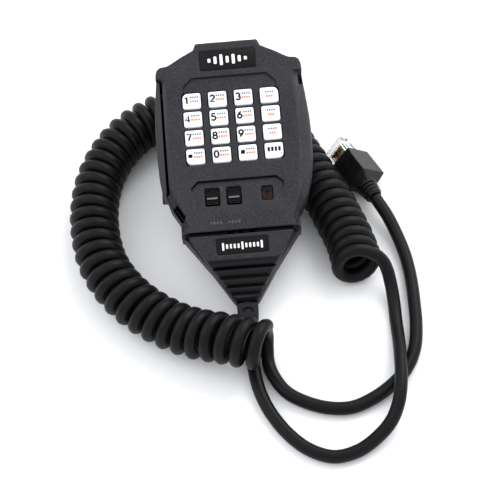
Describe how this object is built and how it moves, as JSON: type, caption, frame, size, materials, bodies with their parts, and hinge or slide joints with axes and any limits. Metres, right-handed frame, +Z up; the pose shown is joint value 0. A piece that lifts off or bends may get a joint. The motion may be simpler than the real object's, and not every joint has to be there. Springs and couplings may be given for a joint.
{
  "type": "hand microphone",
  "caption": "Hand microphone with a keypad, push-to-talk bar, slide switches and hang-up stud, on a curly cord that ends in a modular plug.",
  "frame": {"origin": "on the table, under the middle of the microphone without its cord", "axes": "+Z up from the table, +Y from the strain relief towards the head, +X to the right seen from the front"},
  "size_m": [0.146, 0.1902, 0.0552],
  "materials": {
    "housing": "fine-grained matt dark grey plastic",
    "rear_housing": "fine-grained matt black plastic",
    "plates": "smooth satin black plastic",
    "key_white": "satin white plastic, printed",
    "button_white": "milky translucent plastic",
    "mat_rubber": "soft dark silicone",
    "board": "green solder mask",
    "chips": "moulded black",
    "steel": "plated steel",
    "slider_black": "black plastic",
    "dark_window": "dark tinted window",
    "bar_black": "matt black plastic, ribbed",
    "soft_rubber": "flexible moulded rubber",
    "cord_rubber": "black rubber with a dull sheen",
    "hood_rubber": "moulded black rubber",
    "clear_plastic": "clear polycarbonate",
    "contact_gold": "gold-plated blades",
    "wire_colours": "eight insulated wires, each a colour of its own"
  },
  "bodies": {
    "root": {"front_cover": "housing", "rear_cover": "rear_housing", "name_plate": "plates", "chin_plate": "plates", "keypad_mat": "mat_rubber", "circuit_board": "board", "board_parts": "chips", "board_screws": "steel", "slide_switch_cases": "steel", "indicator_window": "dark_window", "ptt_pin": "steel", "ptt_switch": "chips", "top_switches": "chips", "microphone_capsule": "steel", "capsule_boot": "soft_rubber", "hang_up_stud": "steel", "stud_screw": "steel", "case_screws": "steel", "strain_relief": "soft_rubber", "cable_clamp": "steel", "inner_wires": "soft_rubber", "mic_lead": "cord_rubber", "curly_coil": "cord_rubber", "plug_lead": "cord_rubber", "plug_hood": "hood_rubber", "plug_body": "clear_plastic", "plug_contacts": "contact_gold", "plug_wires": "wire_colours"},
    "key_1": {"key_1": "key_white"},
    "key_2": {"key_2": "key_white"},
    "key_3": {"key_3": "key_white"},
    "key_a": {"key_a": "key_white"},
    "key_4": {"key_4": "key_white"},
    "key_5": {"key_5": "key_white"},
    "key_6": {"key_6": "key_white"},
    "key_b": {"key_b": "key_white"},
    "key_7": {"key_7": "key_white"},
    "key_8": {"key_8": "key_white"},
    "key_9": {"key_9": "key_white"},
    "key_c": {"key_c": "key_white"},
    "key_star": {"key_star": "key_white"},
    "key_0": {"key_0": "key_white"},
    "key_hash": {"key_hash": "key_white"},
    "key_d": {"key_d": "key_white"},
    "left_slider": {"left_slider": "slider_black"},
    "middle_slider": {"middle_slider": "slider_black"},
    "ptt_bar": {"ptt_bar": "bar_black"},
    "up_button": {"up_button": "button_white"},
    "down_button": {"down_button": "button_white"},
    "plug_latch": {"plug_latch": "clear_plastic"}
  },
  "joints": [
    {"name": "key_1_press", "type": "slide", "parent": "root", "child": "key_1", "axis": [0, 0.309, -0.9511], "range_m": [0, 0.0008], "stiffness_N_per_m": 800},
    {"name": "key_2_press", "type": "slide", "parent": "root", "child": "key_2", "axis": [0, 0.309, -0.9511], "range_m": [0, 0.0008], "stiffness_N_per_m": 800},
    {"name": "key_3_press", "type": "slide", "parent": "root", "child": "key_3", "axis": [0, 0.309, -0.9511], "range_m": [0, 0.0008], "stiffness_N_per_m": 800},
    {"name": "key_a_press", "type": "slide", "parent": "root", "child": "key_a", "axis": [0, 0.309, -0.9511], "range_m": [0, 0.0008], "stiffness_N_per_m": 800},
    {"name": "key_4_press", "type": "slide", "parent": "root", "child": "key_4", "axis": [0, 0.309, -0.9511], "range_m": [0, 0.0008], "stiffness_N_per_m": 800},
    {"name": "key_5_press", "type": "slide", "parent": "root", "child": "key_5", "axis": [0, 0.309, -0.9511], "range_m": [0, 0.0008], "stiffness_N_per_m": 800},
    {"name": "key_6_press", "type": "slide", "parent": "root", "child": "key_6", "axis": [0, 0.309, -0.9511], "range_m": [0, 0.0008], "stiffness_N_per_m": 800},
    {"name": "key_b_press", "type": "slide", "parent": "root", "child": "key_b", "axis": [0, 0.309, -0.9511], "range_m": [0, 0.0008], "stiffness_N_per_m": 800},
    {"name": "key_7_press", "type": "slide", "parent": "root", "child": "key_7", "axis": [0, 0.309, -0.9511], "range_m": [0, 0.0008], "stiffness_N_per_m": 800},
    {"name": "key_8_press", "type": "slide", "parent": "root", "child": "key_8", "axis": [0, 0.309, -0.9511], "range_m": [0, 0.0008], "stiffness_N_per_m": 800},
    {"name": "key_9_press", "type": "slide", "parent": "root", "child": "key_9", "axis": [0, 0.309, -0.9511], "range_m": [0, 0.0008], "stiffness_N_per_m": 800},
    {"name": "key_c_press", "type": "slide", "parent": "root", "child": "key_c", "axis": [0, 0.309, -0.9511], "range_m": [0, 0.0008], "stiffness_N_per_m": 800},
    {"name": "key_star_press", "type": "slide", "parent": "root", "child": "key_star", "axis": [0, 0.309, -0.9511], "range_m": [0, 0.0008], "stiffness_N_per_m": 800},
    {"name": "key_0_press", "type": "slide", "parent": "root", "child": "key_0", "axis": [0, 0.309, -0.9511], "range_m": [0, 0.0008], "stiffness_N_per_m": 800},
    {"name": "key_hash_press", "type": "slide", "parent": "root", "child": "key_hash", "axis": [0, 0.309, -0.9511], "range_m": [0, 0.0008], "stiffness_N_per_m": 800},
    {"name": "key_d_press", "type": "slide", "parent": "root", "child": "key_d", "axis": [0, 0.309, -0.9511], "range_m": [0, 0.0008], "stiffness_N_per_m": 800},
    {"name": "ptt_press", "type": "hinge", "parent": "root", "child": "ptt_bar", "pos_m": [-0.0311, -0.00363, 0.02363], "axis": [0, 0.309, -0.9511], "range_deg": [0, 1], "stiffness_Nm_per_rad": 2.5},
    {"name": "up_press", "type": "slide", "parent": "root", "child": "up_button", "axis": [0, -0.9511, -0.309], "range_m": [0, 0.0008], "stiffness_N_per_m": 800},
    {"name": "down_press", "type": "slide", "parent": "root", "child": "down_button", "axis": [0, -0.9511, -0.309], "range_m": [0, 0.0008], "stiffness_N_per_m": 800},
    {"name": "left_slide", "type": "slide", "parent": "root", "child": "left_slider", "axis": [0, 0.9511, 0.309], "range_m": [0, 0.002]},
    {"name": "middle_slide", "type": "slide", "parent": "root", "child": "middle_slider", "axis": [0, 0.9511, 0.309], "range_m": [0, 0.002]},
    {"name": "latch_press", "type": "hinge", "parent": "root", "child": "plug_latch", "pos_m": [0.04827, 0.02582, 0.00468], "axis": [-0.6355, -0.31, -0.7071], "range_deg": [0, 4], "stiffness_Nm_per_rad": 0.3}
  ]
}
